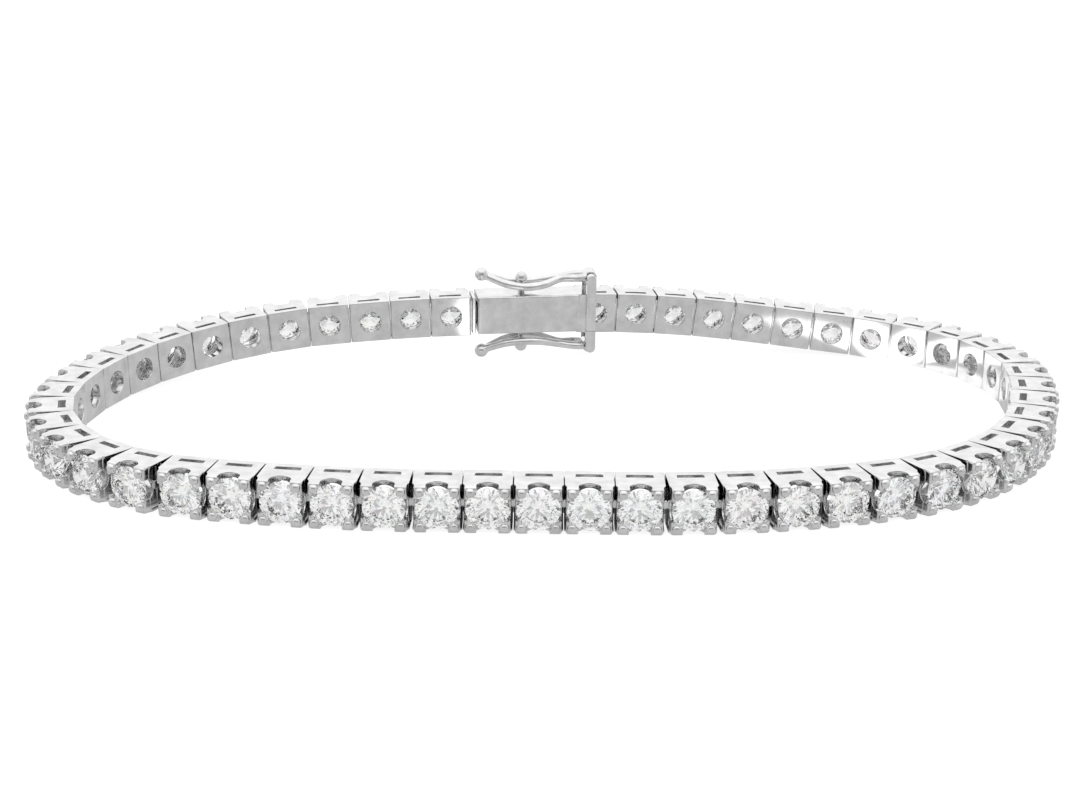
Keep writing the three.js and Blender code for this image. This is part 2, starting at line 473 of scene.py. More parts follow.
@dataclass(frozen=True)
class WhiteGold:
    """Polished white gold: bright, with fine polishing lines, and painted shade that darkens its corners
    and gaps.

    The painted shade is paler near the ground, as though the floor lit it, and paler on the walls of the
    slots.
    Lengths are in metres, as Object coordinates are.
    """

    name: str
    bright: Colour = (0.86, 0.86, 0.865, 1.0)
    dull: Colour = (0.62, 0.615, 0.61, 1.0)
    # Painted shade: the colour that occluded corners and gaps are darkened to.
    corner: Colour = (0.05, 0.05, 0.051, 1.0)
    # Painted light: near the ground the painted shade is paler, as though the floor lit the corners.
    low_shade: Colour = (0.6, 0.6, 0.602, 1.0)
    # Painted shade in the slot walls, paler than in the other corners.
    slot_shade: Colour = (0.78, 0.78, 0.782, 1.0)
    shade_heights: Range = (0.0019, 0.0025)
    shade_reach: float = 0.001
    shade_openness: Range = (0.1, 0.55)
    cloud_scale: float = 900.0
    cloud_ends: Range = (0.35, 0.7)
    cloud_share: float = 0.7
    line_scale: tuple[float, float, float] = (6000.0, 6000.0, 42000.0)
    line_strength: float = 0.35
    line_depth: float = 1.2e-6
    grain_ends: Range = (0.3, 0.7)
    sheen: Range = (0.05, 0.16)

    def colour(self, desk: NodeDesk, place: bpy.types.NodeSocket, cloud: Any) -> bpy.types.NodeSocket:
        """Mixes the colour of the metal with painted shade in its corners, which is paler low down and on
        the slot walls.

        Args:
            desk: where the nodes are placed.
            place: the Object coordinates.
            cloud: the clouding left by the cloth.

        Returns:
            The colour.
        """
        clouded = desk.ranged(cloud, self.cloud_ends, (0.0, self.cloud_share))
        tone = desk.mixed(Blend.COLOURS, clouded, self.bright, self.dull)
        # The painted shade is paler low down, as though lit by the floor.
        height = desk.place("ShaderNodeSeparateXYZ", {0: place}).outputs["Z"]
        raised = desk.ranged(height, self.shade_heights)
        corner = desk.mixed(Blend.COLOURS, raised, self.low_shade, self.corner)
        # The slot walls get a paler painted shade.
        in_slot = desk.place("ShaderNodeAttribute", attribute_name=SLOT_WALL_MARK).outputs["Fac"]
        painted_shade = desk.mixed(Blend.COLOURS, in_slot, corner, self.slot_shade)
        # Painted shade: an ambient occlusion node darkens the colour in corners, gaps and recesses.
        reach = {"Distance": self.shade_reach}
        occlusion = desk.place("ShaderNodeAmbientOcclusion", reach, samples=8).outputs["AO"]
        return desk.mixed(Blend.COLOURS, desk.ranged(occlusion, self.shade_openness), painted_shade, tone)

    def material(self) -> bpy.types.Material:
        """Builds the material.

        Returns:
            The material, on Object coordinates.
        """
        made, desk = blank_material(self.name)
        place = desk.place("ShaderNodeTexCoord").outputs["Object"]
        cloud = desk.out(
            "ShaderNodeTexNoise",
            {"Vector": place, "Scale": self.cloud_scale, "Detail": 3.0, "Roughness": 0.6},
        )
        polish = desk.out("ShaderNodeMapping", {"Vector": place, "Scale": self.line_scale})
        lines = desk.out("ShaderNodeTexNoise", {"Vector": polish, "Scale": 1.0, "Detail": 4.0})
        grain = desk.maths("ADD", desk.maths("MULTIPLY", lines, 0.5), desk.maths("MULTIPLY", cloud, 0.5))
        bump = desk.out(
            "ShaderNodeBump",
            {"Strength": self.line_strength, "Distance": self.line_depth, "Height": lines},
        )
        shader = desk.out(
            "ShaderNodeBsdfPrincipled",
            {
                "Base Color": self.colour(desk, place, cloud),
                "Metallic": 1.0,
                "Roughness": desk.ranged(grain, self.grain_ends, self.sheen),
                "Normal": bump,
            },
        )
        desk.place("ShaderNodeOutputMaterial", {"Surface": shader})
        return made


@dataclass(frozen=True)
class Diamond:
    """Clear brilliant, with a little painted fire: coloured flecks in its colour stand in for dispersed
    light from facet to facet.
    """

    name: str
    clear: Colour = (1.0, 1.0, 1.0, 1.0)
    refraction: float = 2.42
    # Painted fire: brightened coloured cells mixed into the base colour stand in for light dispersed by the
    # facets.
    painted_fire_share: float = 0.11
    fire_size: float = 0.0004
    fire_depth: float = 0.7
    fire_light: float = 1.6

    def material(self) -> bpy.types.Material:
        """Builds the material.

        Returns:
            The material, on Object coordinates.
        """
        made, desk = blank_material(self.name)
        place = desk.place("ShaderNodeTexCoord").outputs["Object"]
        cells = desk.place(
            "ShaderNodeTexVoronoi", {"Vector": place, "Scale": 1 / self.fire_size}
        ).outputs["Color"]
        painted_fire = desk.out(
            "ShaderNodeHueSaturation",
            {"Color": cells, "Saturation": self.fire_depth, "Value": self.fire_light},
        )
        shader = desk.out(
            "ShaderNodeBsdfPrincipled",
            {
                "Base Color": desk.mixed(Blend.COLOURS, self.painted_fire_share, self.clear, painted_fire),
                "Roughness": 0.0,
                "IOR": self.refraction,
                "Transmission Weight": 1.0,
            },
        )
        desk.place("ShaderNodeOutputMaterial", {"Surface": shader})
        return made


# ------------------------------------------------------------------------------------------------
# Route of the chain
# ------------------------------------------------------------------------------------------------


@dataclass(frozen=True)
class Bend:
    """A stretch of hinges that each turn the chain to the left by the same angle in degrees."""

    joints: int
    degrees: float


@dataclass(frozen=True)
class ChainRoute:
    """Where the hinges of the closed chain lie, from the clasp's tongue round to its box."""

    links: int = 52
    pitch: float = 3.25
    links_per_run: int = 4
    clasp_heading: float = 188.5
    clasp_span: float = 8.63
    link_width: float = 3.2
    clasp_rise: float = 2.15
    tongue_descent: float = 11.5
    box_descent: float = 8.7
    bends: tuple[Bend, ...] = (
        Bend(4, 0),
        Bend(4, 9),
        Bend(4, 11),
        Bend(6, 13),
        Bend(5, 2.6),
        Bend(4, 0),
        Bend(5, 4),
        Bend(5, 10),
        Bend(3, 6),
        Bend(6, 14.5),
        Bend(4, 3.5),
        Bend(3, 0),
    )

    @staticmethod
    def descent(distance: float, length: float) -> float:
        """A share from 1 to 0 that falls as half a cosine wave over the given length."""
        return (1 + math.cos(math.pi * min(distance / length, 1))) / 2

    def hinges(self) -> list[Vector]:
        """Works out every hinge point.

        Returns:
            The points, with the tongue's hinge over the origin.
        """
        turns = [bend.degrees for bend in self.bends for _ in range(bend.joints)]
        points = [Vector((0, 0, 0))]
        heading = self.clasp_heading
        for turn in turns[: self.links]:
            heading += turn
            angle = math.radians(heading)
            points.append(points[-1] + self.pitch * Vector((math.cos(angle), math.sin(angle), 0)))
        angle = math.radians(self.clasp_heading)
        gap = points[-1] + self.clasp_span * Vector((math.cos(angle), math.sin(angle), 0))
        for i, point in enumerate(points):
            point -= gap * (i / self.links)
            share = self.descent(i, self.tongue_descent)
            share += self.descent(self.links - i, self.box_descent)
            point.z = self.link_width / 2 + self.clasp_rise * share
        return points

    @staticmethod
    def frame_between(start: Vector, end: Vector, origin: Vector) -> Matrix:
        """Makes the frame of a part between two hinges.

        Args:
            start: the hinge that +X points to.
            end: the hinge that +X points away from.
            origin: the frame's origin.

        Returns:
            The frame, with +Y outwards and +Z up.
        """
        x = (start - end).normalized()
        y = Vector((0, 0, 1)).cross(x).normalized()
        z = x.cross(y)
        frame = Matrix((x, y, z)).transposed().to_4x4()
        frame.translation = origin
        return frame

    def clasp_frame(self) -> Matrix:
        """The clasp's frame, from the tongue's hinge towards the box's hinge along +X."""
        points = self.hinges()
        return self.frame_between(points[-1], points[0], points[0])

    def runs(self) -> list[tuple[str, range]]:
        """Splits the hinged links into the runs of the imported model.

        Returns:
            For each run, its number as in its name and the links that it holds.
        """
        hinged = self.links - 1
        firsts = range(0, hinged, self.links_per_run)
        return [
            (f"{number:02d}", range(first, min(first + self.links_per_run, hinged)))
            for number, first in enumerate(firsts, 1)
        ]


@dataclass(frozen=True)
class Placing:
    """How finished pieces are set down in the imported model's frame."""

    matrix: Matrix

    def piece(
        self,
        mesh: bpy.types.Mesh,
        name: str,
        body: str,
        slot: str,
        replaced: Iterable[str] = (),
    ) -> bpy.types.Object:
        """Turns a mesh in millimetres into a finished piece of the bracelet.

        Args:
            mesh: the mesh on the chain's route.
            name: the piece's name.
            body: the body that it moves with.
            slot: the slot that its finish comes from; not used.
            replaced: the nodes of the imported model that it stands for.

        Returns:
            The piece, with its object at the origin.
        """
        mesh.transform(self.matrix)
        mesh.name = name
        made = bpy.data.objects.new(name, mesh)
        bpy.context.scene.collection.objects.link(made)
        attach(made, body)
        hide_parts(*replaced)
        mesh.calc_loop_triangles()
        log.info("%s: %d triangles on %s", name, len(mesh.loop_triangles), body)
        return made


# ------------------------------------------------------------------------------------------------
# Links
# ------------------------------------------------------------------------------------------------


@dataclass(frozen=True)
class Brilliant:
    """A round stone with the 57 facets of a brilliant, its table towards +Y."""

    radius: float = 1.42
    table_radius: float = 0.8
    star_radius: float = 1.08
    lower_radius: float = 0.33
    crown_angle: float = 34.5
    pavilion_angle: float = 40.8
    girdle_low: float = 2.61
    girdle_high: float = 2.65
    mains: int = 8

    def mesh(self) -> bpy.types.Mesh:
        """Cuts the stone.

        Returns:
            The stone as flat facets.
        """
        shape = bmesh.new()
        step = 2 * math.pi / self.mains
        crown = math.tan(math.radians(self.crown_angle))
        pavilion = math.tan(math.radians(self.pavilion_angle))

        def ring(radius: float, height: float, start: float, count: int) -> list[bmesh.types.BMVert]:
            """Puts corners round the axis at one height.

            Args:
                radius: how far from the axis they lie.
                height: how high along Y.
                start: the first one's turn from +X, in radians.
                count: how many there are.

            Returns:
                The corners.
            """
            turns = [start + 2 * math.pi * i / count for i in range(count)]
            return [
                shape.verts.new((radius * math.cos(t), height, radius * math.sin(t))) for t in turns
            ]

        half_cos = math.cos(step / 2)
        star_height = self.girdle_high + (self.radius - self.star_radius * half_cos) * crown
        lower_height = self.girdle_low - (self.radius - self.lower_radius * half_cos) * pavilion
        table_height = self.girdle_high + (self.radius - self.table_radius) * crown
        table = ring(self.table_radius, table_height, 0, self.mains)
        stars = ring(self.star_radius, star_height, step / 2, self.mains)
        upper = ring(self.radius, self.girdle_high, 0, 2 * self.mains)
        under = ring(self.radius, self.girdle_low, 0, 2 * self.mains)
        lower = ring(self.lower_radius, lower_height, step / 2, self.mains)
        culet = shape.verts.new((0, self.girdle_low - self.radius * pavilion, 0))

        shape.faces.new(table)
        for i in range(self.mains):
            before, after = i - 1, (i + 1) % self.mains
            here, middle, there = 2 * i, 2 * i + 1, (2 * i + 2) % (2 * self.mains)
            shape.faces.new((table[i], stars[i], table[after]))
            shape.faces.new((table[i], stars[before], upper[here], stars[i]))
            shape.faces.new((stars[i], upper[here], upper[middle]))
            shape.faces.new((stars[i], upper[middle], upper[there]))
            shape.faces.new((upper[here], under[here], under[middle], upper[middle]))
            shape.faces.new((upper[middle], under[middle], under[there], upper[there]))
            shape.faces.new((under[here], lower[i], under[middle]))
            shape.faces.new((under[middle], lower[i], under[there]))
            shape.faces.new((under[here], lower[before], culet, lower[i]))
        return mesh_of(shape, "brilliant")


@dataclass(frozen=True)
class Setting:
    """One link: a slotted basket with a window at the back, four claws, and a hinge lug."""

    length: float = 3.19
    width: float = 3.2
    inner: float = -0.25
    shoulder: float = 2.45
    chamfer: float = 0.09
    slot_length: float = 1.75
    slot_height: float = 0.5
    slot_depth: float = 0.5
    slot_y: float = 0.58
    scallop_half: float = 0.7
    scallop_depth: float = 0.5
    hollow_sides: int = 32
    hollow: tuple[tuple[float, float], ...] = (
        (0.95, -1.0),
        (0.86, -0.2),
        (0.8, 0.3),
        (1.22, 1.75),
        (1.32, 2.4),
        (1.44, 2.6),
        (1.44, 4.0),
    )
    relief: float = 0.09
    relief_half: float = 1.42
    relief_start: float = 1.1
    leg_start: float = 2.4
    leg_top: float = 2.95
    leg_round: float = 0.2
    leg_segments: int = 4
    claw_middle: tuple[float, float] = (1.13, 1.2)
    claw_rings: tuple[tuple[float, float, float], ...] = (
        (2.5, 0.3, 3.0),
        (2.96, 0.3, 2.8),
        (3.05, 0.275, 2.5),
        (3.115, 0.225, 2.2),
        (3.15, 0.15, 2.0),
        (3.162, 0.06, 2.0),
    )
    claw_lean: float = 0.05
    claw_sides: int = 20
    edge: float = 0.045
    lug_half_length: float = 0.34
    lug_half_width: float = 0.29
    lug_outer: float = 1.6
    lug_edge: float = 0.1
    knuckle_radius: float = 0.13
    knuckle_half: float = 1.2
    knuckle_sides: int = 16
    joint: float = 1.625
    overcut: float = 0.1
    tolerance: float = 0.001
    slot_margin: float = 0.01

    def outline(self) -> list[tuple[float, float]]:
        """Draws the side of the basket: the rail, and the legs with the scallop between them.

        Returns:
            The corners in order.
        """
        half = self.length / 2
        leg = half - self.relief
        return [
            (-half + self.chamfer, self.inner),
            (half - self.chamfer, self.inner),
            (half, self.inner + self.chamfer),
            (half, self.leg_start - self.relief),
            (leg, self.leg_start),
            (leg, self.leg_top),
            (self.scallop_half, self.leg_top),
            *self.scallop(),
            (-self.scallop_half, self.leg_top),
            (-leg, self.leg_top),
            (-leg, self.leg_start),
            (-half, self.leg_start - self.relief),
            (-half, self.inner + self.chamfer),
        ]

    def scallop(self, segments: int = 12) -> list[tuple[float, float]]:
        """Draws the arc of the scallop.

        Args:
            segments: how many straight lines make up the arc.

        Returns:
            The points from +X to -X.
        """
        radius = (self.scallop_half**2 + self.scallop_depth**2) / (2 * self.scallop_depth)
        centre = self.shoulder - self.scallop_depth + radius
        reach = math.asin(self.scallop_half / radius)
        turns = [reach - 2 * reach * i / segments for i in range(segments + 1)]
        return [(radius * math.sin(t), centre - radius * math.cos(t)) for t in turns]

    def slot(self) -> bpy.types.Mesh:
        """Makes the tool that cuts the long slot through both sides of the basket.

        It has a ring at the depth of the rails as well, so that the slot's walls are split there and
        their edges are rounded evenly.

        Returns:
            The tool.
        """
        half, rise, side = self.slot_length / 2, self.slot_height / 2, self.width / 2
        corners = ((-half, -rise), (half, -rise), (half, rise), (-half, rise))
        outer, inner = side + self.overcut, side - self.slot_depth
        shape = bmesh.new()
        rings = [
            [shape.verts.new((x, self.slot_y + y, height)) for x, y in corners]
            for height in (-outer, -inner, inner, outer)
        ]
        skinned(rings, shape)
        return mesh_of(shape, "slot")

    def end_scallop(self) -> bpy.types.Mesh:
        """Makes the tool that cuts the scallops of the two ends along the chain.

        Returns:
            The tool.
        """
        arc = self.scallop()
        top = self.leg_top + 1
        outline = [*arc, (arc[-1][0], top), (arc[0][0], top)]
        return moved(prism(outline, self.length), Matrix.Rotation(math.pi / 2, 4, "Y"))

    def relief_cut(self, end: int) -> bpy.types.Mesh:
        """Makes the tool that cuts the relief in one end, which the neighbour's lug moves in.

        Args:
            end: 1 for the end towards the box, -1 for the other.

        Returns:
            The tool.
        """
        face = self.length / 2 - self.relief
        inner, outer = sorted((end * face, end * self.length))
        low = (inner, self.relief_start, -self.relief_half)
        return rounded_box(low, (outer, self.leg_start, self.relief_half), 0.0)

    def rounded_legs(self, body: bpy.types.Mesh) -> bpy.types.Mesh:
        """Rounds the outer corners of the four legs, where handling wears them most.

        Args:
            body: the cut basket.

        Returns:
            The basket with its legs rounded.
        """
        end, side = self.length / 2 - self.relief - self.tolerance, self.width / 2 - self.tolerance
        shape = bmesh.new()
        shape.from_mesh(body)

        def outer(edge: bmesh.types.BMEdge) -> bool:
            """Tells whether an edge is one of a leg's outer ones.

            Args:
                edge: the edge.

            Returns:
                Whether it is on a leg and on two of its three outer faces.
            """
            places = [vert.co for vert in edge.verts]
            on_end = all(abs(place.x) > end for place in places)
            on_side = all(abs(place.z) > side for place in places)
            on_top = all(place.y > self.leg_top - self.tolerance for place in places)
            on_leg = all(place.y > self.leg_start - self.tolerance for place in places)
            return on_leg and on_end + on_side + on_top == 2

        edges = [edge for edge in shape.edges if outer(edge)]
        bmesh.ops.bevel(
            shape,
            geom=edges,
            offset=self.leg_round,
            segments=self.leg_segments,
            profile=0.5,
            affect="EDGES",
        )
        return mesh_of(shape, body.name)

    def basket(self) -> bpy.types.Mesh:
        """Cuts the basket and rounds its edges.

        Returns:
            The basket with its legs, without the tips of its claws.
        """
        window = turned(self.hollow, self.hollow_sides, "hollow")
        steps = [(Weld.CUT, window), (Weld.CUT, self.slot()), (Weld.CUT, self.end_scallop())]
        steps += [(Weld.CUT, self.relief_cut(end)) for end in (1, -1)]
        body = welded(prism(self.outline(), self.width / 2), steps, "basket")
        return softened(self.rounded_legs(body), self.edge)

    def claw(self, x_side: int, z_side: int) -> bpy.types.Mesh:
        """Makes the rounded tip of one claw, which stands on a leg and leans over the stone.

        Args:
            x_side: 1 for the end towards the box, -1 for the other.
            z_side: 1 for the upper side, -1 for the lower.

        Returns:
            The tip, from inside its leg.
        """
        shape = bmesh.new()
        middle = (x_side * self.claw_middle[0], z_side * self.claw_middle[1])
        rings = []
        for height, size, squareness in self.claw_rings:
            lean = 1 - self.claw_lean * max(0.0, height - self.shoulder)
            ring = []
            for i in range(self.claw_sides):
                turn = 2 * math.pi * (i + 0.5) / self.claw_sides
                across, up = math.cos(turn), math.sin(turn)
                reach = size / (abs(across) ** squareness + abs(up) ** squareness) ** (1 / squareness)
                x, z = lean * middle[0] + reach * across, lean * middle[1] + reach * up
                ring.append(shape.verts.new((x, height, z)))
            rings.append(ring)
        skinned(rings, shape)
        return mesh_of(shape, "claw")

    def lug(self) -> bpy.types.Mesh:
        """Makes the lug and the knuckle that reach into the neighbour nearer the tongue.

        Returns:
            The lug with its knuckle.
        """
        long, wide, radius = self.lug_half_length, self.lug_half_width, self.knuckle_radius
        plate = rounded_box((-long, 0.0, -wide), (long, self.lug_outer, wide), self.lug_edge)
        ends = (-self.knuckle_half, self.knuckle_half)
        barrel = turned([(radius, end) for end in ends], self.knuckle_sides)
        moved(barrel, Matrix.Rotation(math.pi / 2, 4, "X"))
        whole = welded(plate, [(Weld.ADD, barrel)], "lug")
        return moved(whole, Matrix.Translation((self.joint, 0, 0)))

    def mesh(self) -> bpy.types.Mesh:
        """Builds the whole link.

        Returns:
            The link as one solid.
        """
        corners = [(x, z) for x in (1, -1) for z in (1, -1)]
        steps = [(Weld.ADD, self.claw(x, z)) for x, z in corners]
        steps.append((Weld.ADD, self.lug()))
        return self.marked(shaded(welded(self.basket(), steps, "setting")))

    def marked(self, link: bpy.types.Mesh) -> bpy.types.Mesh:
        """Marks the walls of the slots, for the finish to read: it paints a paler shade there.

        Args:
            link: the whole link.

        Returns:
            The same mesh.
        """
        marks = link.attributes.new(SLOT_WALL_MARK, "FLOAT", "FACE")
        reach = Vector((self.slot_length / 2, self.slot_height / 2, self.width / 2 - self.edge))
        reach += Vector((self.slot_margin,) * 3)
        for face, mark in zip(link.polygons, marks.data):
            place = face.center - Vector((0, self.slot_y, 0))
            mark.value = float(all(abs(at) < most for at, most in zip(place, reach)))
        return link


class PathTree:
    """A tree of geometry nodes with named inputs, which makes a plain mesh along a line of points."""

    def __init__(self, name: str, kinds: dict[str, str]) -> None:
        """Starts the tree.

        Args:
            name: the tree's name.
            kinds: the name of each input besides the line and the material, and the kind of its socket.
        """
        self.tree = bpy.data.node_groups.new(name, "GeometryNodeTree")
        face = self.tree.interface
        kinds = {"Geometry": "Geometry", **kinds, "Material": "Material"}
        self.sockets = {
            key: face.new_socket(key, in_out="INPUT", socket_type=f"NodeSocket{kind}").identifier
            for key, kind in kinds.items()
        }
        face.new_socket("Geometry", in_out="OUTPUT", socket_type="NodeSocketGeometry")
        self.desk = NodeDesk(self.tree)
        self.given = self.desk.place("NodeGroupInput").outputs

    def hand_out(self, made: bpy.types.NodeSocket) -> None:
        """Makes all copies real, gives them their material and ends the tree.

        Args:
            made: the geometry that the tree has made.
        """
        real = self.desk.out("GeometryNodeRealizeInstances", {"Geometry": made})
        material = self.given["Material"]
        dressed = self.desk.out("GeometryNodeSetMaterial", {"Geometry": real, "Material": material})
        self.desk.place("NodeGroupOutput", {"Geometry": dressed})

    def along(self, points: list[Vector], values: dict[str, Any], name: str) -> bpy.types.Mesh:
        """Runs the tree along a line of points.

        Args:
            points: the points in order.
            values: the value of each input.
            name: the name of the result.

        Returns:
            The result as a plain mesh.
        """
        line = bpy.data.meshes.new(name)
        line.from_pydata(points, [(i, i + 1) for i in range(len(points) - 1)], [])
        worked = on_bench(line, name)
        modifier = worked.modifiers.new(self.tree.name, "NODES")
        modifier.node_group = self.tree
        for key, value in values.items():
            modifier[self.sockets[key]] = value
        return taken_off(worked, name)


class RunTree(PathTree):
    """The tree that strings copies of one part along a run of hinges."""

    def __init__(self) -> None:
        """Places a part midway along each edge, +X back along the edge and +Z up."""
        kinds = {"Part": "Object", "Slack": "Float", "Spin": "Float", "Seed": "Int"}
        super().__init__("strung_run", kinds)
        desk, given = self.desk, self.given
        ends = desk.place("GeometryNodeInputMeshEdgeVertices").outputs
        back = {0: ends["Position 1"], 1: ends["Position 2"]}
        along = desk.out("ShaderNodeVectorMath", back, operation="SUBTRACT")
        capture = desk.place("GeometryNodeCaptureAttribute", domain="EDGE")
        capture.capture_items.new("VECTOR", "Along")
        self.tree.links.new(given["Geometry"], capture.inputs["Geometry"])
        self.tree.links.new(along, capture.inputs["Along"])
        points = desk.out(
            "GeometryNodeMeshToPoints", {"Mesh": capture.outputs["Geometry"]}, mode="EDGES"
        )
        turn = desk.out(
            "FunctionNodeAxesToRotation",
            {0: capture.outputs["Along"], 1: (0.0, 0.0, 1.0)},
            primary_axis="X",
            secondary_axis="Z",
        )
        turn = self.shaken(turn, given["Slack"], given["Seed"], (0.0, 0.0, 1.0))
        other_seed = desk.maths("ADD", given["Seed"], SPIN_SEED_SHIFT)
        turn = self.shaken(turn, given["Spin"], other_seed, (0.0, 1.0, 0.0))
        part = desk.place("GeometryNodeObjectInfo", {"Object": given["Part"]}).outputs["Geometry"]
        copies = {"Points": points, "Instance": part, "Rotation": turn}
        self.hand_out(desk.out("GeometryNodeInstanceOnPoints", copies))

    def shaken(
        self,
        turn: bpy.types.NodeSocket,
        reach: bpy.types.NodeSocket,
        seed: bpy.types.NodeSocket,
        axis: tuple[float, float, float],
    ) -> bpy.types.NodeSocket:
        """Turns each copy about one of its own axes by a seeded angle.

        Args:
            turn: the rotation so far.
            reach: the greatest angle either way, in radians.
            seed: the seed of the angles.
            axis: the axis in the copy's own frame.

        Returns:
            The new rotation.
        """
        least = self.desk.maths("MULTIPLY", reach, -1.0)
        limits = {"Min": least, "Max": reach, "Seed": seed}
        angle = self.desk.out("FunctionNodeRandomValue", limits, data_type="FLOAT")
        extra = self.desk.out("FunctionNodeAxisAngleToRotation", {"Axis": axis, "Angle": angle})
        both = {"Rotation": turn, "Rotate By": extra}
        return self.desk.out("FunctionNodeRotateRotation", both, rotation_space="LOCAL")


@dataclass
class Chain:
    """The hinged links and their stones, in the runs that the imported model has."""

    route: ChainRoute
    placing: Placing
    metal: bpy.types.Material
    diamond: bpy.types.Material
    setting: Setting = field(default_factory=Setting)
    brilliant: Brilliant = field(default_factory=Brilliant)
    slack: float = 0.35
    spin: float = 22.5

    def __post_init__(self) -> None:
        """Makes the two parts that are strung, and the tree that strings them."""
        self.tree = RunTree()
        self.link_part = on_bench(self.setting.mesh(), "link_part")
        self.stone_part = on_bench(self.brilliant.mesh(), "stone_part")
        for part in (self.link_part, self.stone_part):
            part.hide_render = True

    def strung(
        self,
        part: bpy.types.Object,
        material: bpy.types.Material,
        spin: float,
        numbers: range,
        name: str,
    ) -> bpy.types.Mesh:
        """Strings copies of a part between the hinges of some links.

        Args:
            part: the object whose mesh is copied.
            material: the copies' material.
            spin: how far a copy may be turned about its stone's axis, in degrees.
            numbers: the links' numbers.
            name: the name of the result.

        Returns:
            The copies as one plain mesh.
        """
        values = {
            "Part": part,
            "Slack": math.radians(self.slack),
            "Spin": math.radians(spin),
            "Seed": STONE_SEED + numbers.start,
            "Material": material,
        }
        return self.tree.along(self.route.hinges()[numbers.start : numbers.stop + 1], values, name)

    def links(self, numbers: range, name: str) -> bpy.types.Mesh:
        """Strings the metal of some links."""
        return self.strung(self.link_part, self.metal, 0.0, numbers, name)

    def stones(self, numbers: range, name: str) -> bpy.types.Mesh:
        """Strings the stones of some links."""
        return self.strung(self.stone_part, self.diamond, self.spin, numbers, name)

    def build(self) -> None:
        """Makes every run of hinged links, and the stones that they hold."""
        for number, links in self.route.runs():
            metal = self.links(links, f"links_{number}")
            self.placing.piece(
                metal, f"links_{number}", BAND, METAL_SLOT, [f"chain_run_{number}"]
            )
            stones = self.stones(links, f"stones_{number}")
            self.placing.piece(stones, f"stones_{number}", BAND, STONE_SLOT)

    def clear(self) -> None:
        """Removes the parts that the copies were made from."""
        for part in (self.link_part, self.stone_part):
            bpy.data.objects.remove(part)


# ------------------------------------------------------------------------------------------------
# Clasp
# ------------------------------------------------------------------------------------------------


@dataclass(frozen=True)
class StrandPoint:
    """One point of a catch's wires: along the clasp, apart from the middle, and out from the box."""

    x: float
    spread: float
    height: float


@dataclass(frozen=True)
class CatchSizes:
    """The sizes that the catches and the clasp box share."""

    box_half: float = 1.55
    mid: float = 0.9
    wire_radius: float = 0.32
    bead_radius: float = 0.56
    eye_radius: float = 0.56
    eye_bore: float = 0.37
    eye_length: float = 1.5
    pin_radius: float = 0.24
    strand: tuple[StrandPoint, ...] = (
        StrandPoint(9.75, 0.42, 1.35),
        StrandPoint(8.7, 0.72, 1.3),
        StrandPoint(7.4, 0.36, 1.2),
        StrandPoint(6.0, 0.8, 0.86),
        StrandPoint(4.6, 0.98, 0.72),
        StrandPoint(3.0, 0.66, 0.91),
        StrandPoint(1.9, 0.3, 1.27),
        StrandPoint(0.95, 0.0, 1.65),
    )

    def place(self, side: Side, point: StrandPoint, spread_side: int) -> Vector:
        """Where a wire's point lies in the clasp's frame."""
        height = side.value * (self.box_half + point.height)
        return Vector((point.x, self.mid + spread_side * point.spread, height))

    def hinge(self, side: Side) -> Vector:
        """The middle of a catch's hinge."""
        return self.place(side, self.strand[0], 0)


class WireTree(PathTree):
    """The tree that draws a round wire along a line of points."""

    def __init__(self) -> None:
        """Sweeps a circle along a smooth curve through the points."""
        super().__init__("drawn_wire", {"Radius": "Float", "Steps": "Int"})
        desk, given = self.desk, self.given
        line = desk.out("GeometryNodeMeshToCurve", {"Mesh": given["Geometry"]})
        smooth = desk.out(
            "GeometryNodeCurveSplineType", {"Curve": line}, spline_type="CATMULL_ROM"
        )
        fine = desk.out("GeometryNodeSetSplineResolution", {"Geometry": smooth, "Resolution": 12})
        even = desk.out("GeometryNodeResampleCurve", {"Curve": fine, "Count": given["Steps"]})
        circle = {"Resolution": 16, "Radius": given["Radius"]}
        round_wire = desk.out("GeometryNodeCurvePrimitiveCircle", circle)
        swept = {"Curve": even, "Profile Curve": round_wire, "Fill Caps": True}
        self.hand_out(desk.out("GeometryNodeCurveToMesh", swept))


@dataclass
class SafetyCatch:
    """A figure-eight catch: two wires from the hinge eye to the bead at the tip."""

    side: Side
    sizes: CatchSizes
    wires: WireTree
    metal: bpy.types.Material
    steps: int = 72
    voxel: float = 0.05
    flow_rounds: int = 6
    eye_edge: float = 0.1
    eye_sides: int = 28
    sharp_angle: float = 40.0

    def mesh(self) -> bpy.types.Mesh:
        """Builds the catch in the clasp's frame.

        Returns:
            The catch as one solid.
        """
        sizes = self.sizes
        tip = sizes.place(self.side, sizes.strand[-1], 0)
        parts = [ball(tip, sizes.bead_radius)]
        wire = {"Radius": sizes.wire_radius, "Steps": self.steps, "Material": self.metal}
        for spread_side in (1, -1):
            points = [sizes.place(self.side, point, spread_side) for point in sizes.strand]
            parts.append(self.wires.along(points, wire, "wire"))
        parts.append(self.barrel(sizes.eye_radius, sizes.eye_length / 2, self.eye_edge))
        whole = flowed(gathered(parts, "catch"), self.voxel, self.flow_rounds)
        bore = self.barrel(sizes.eye_bore, sizes.eye_length, 0.0)
        bored = welded(whole, [(Weld.CUT, bore)], "catch")
        bored.materials.clear()
        bored.materials.append(self.metal)
        return shaded(bored, self.sharp_angle, 0.0)

    def barrel(self, radius: float, half: float, edge: float) -> bpy.types.Mesh:
        """Makes a barrel about the hinge's axis.

        Args:
            radius: its radius.
            half: half its length.
            edge: how far its rims are bevelled, or 0 for not at all.

        Returns:
            The barrel.
        """
        profile = [(radius - edge, -half), (radius, edge - half), (radius, half - edge)]
        profile = [*profile, (radius - edge, half)] if edge else [(radius, -half), (radius, half)]
        barrel = turned(profile, self.eye_sides)
        return moved(barrel, Matrix.Translation(self.sizes.hinge(self.side)))


